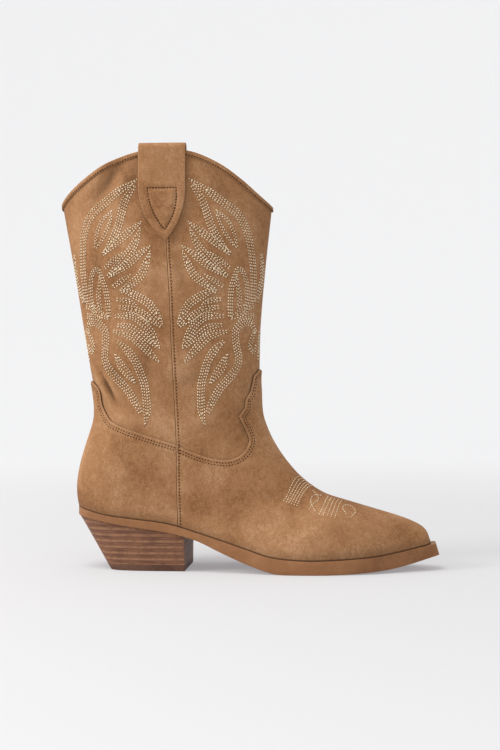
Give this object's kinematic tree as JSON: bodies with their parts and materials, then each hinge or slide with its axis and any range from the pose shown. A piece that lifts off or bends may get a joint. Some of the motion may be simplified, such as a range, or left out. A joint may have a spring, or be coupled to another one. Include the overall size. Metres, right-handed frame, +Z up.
{
  "type": "cowboy boot",
  "caption": "Pull-on western boot with a scalloped shaft, embroidered panels, side pull straps, snipped toe and slanted stacked heel.",
  "frame": {"origin": "on the ground, under the middle of the boot's bounding box", "axes": "+X towards the toe, +Y towards the inner side of the foot, +Z up; a boot for the right foot"},
  "size_m": [0.3026, 0.0904, 0.3345],
  "materials": {
    "suede": "napped suede, matte",
    "lining": "smooth lining leather, satin",
    "canvas": "woven canvas, matte",
    "stiffener": "leather fibre sheet, matte",
    "board": "leather fibre board, matte",
    "cork": "bound cork granules, matte",
    "sole": "edge-dyed, satin",
    "stack": "burnished leather edge, satin",
    "rubber": "moulded, matte",
    "steel": "plain steel",
    "thread_light": "cream embroidery thread",
    "thread_dark": "dark brown seam thread"
  },
  "bodies": {
    "root": {"vamp": "suede", "counter": "suede", "shaft_front": "suede", "shaft_back": "suede", "topline_binding": "suede", "pull_strap_outer": "suede", "pull_strap_inner": "suede", "shaft_lining_front": "lining", "shaft_lining_back": "lining", "vamp_lining": "lining", "heel_lining": "lining", "sock_liner": "lining", "vamp_interlining": "canvas", "toe_puff": "stiffener", "heel_stiffener": "stiffener", "insole_board": "board", "forefoot_filler": "cork", "outsole": "sole", "heel_lift_1": "stack", "heel_lift_2": "stack", "heel_lift_3": "stack", "heel_lift_4": "stack", "heel_lift_5": "stack", "heel_lift_6": "stack", "heel_lift_7": "stack", "heel_lift_8": "stack", "heel_toplift": "rubber", "shank": "steel", "heel_nail_1": "steel", "heel_nail_2": "steel", "heel_nail_3": "steel", "heel_nail_4": "steel", "heel_nail_5": "steel"}
  },
  "joints": []
}
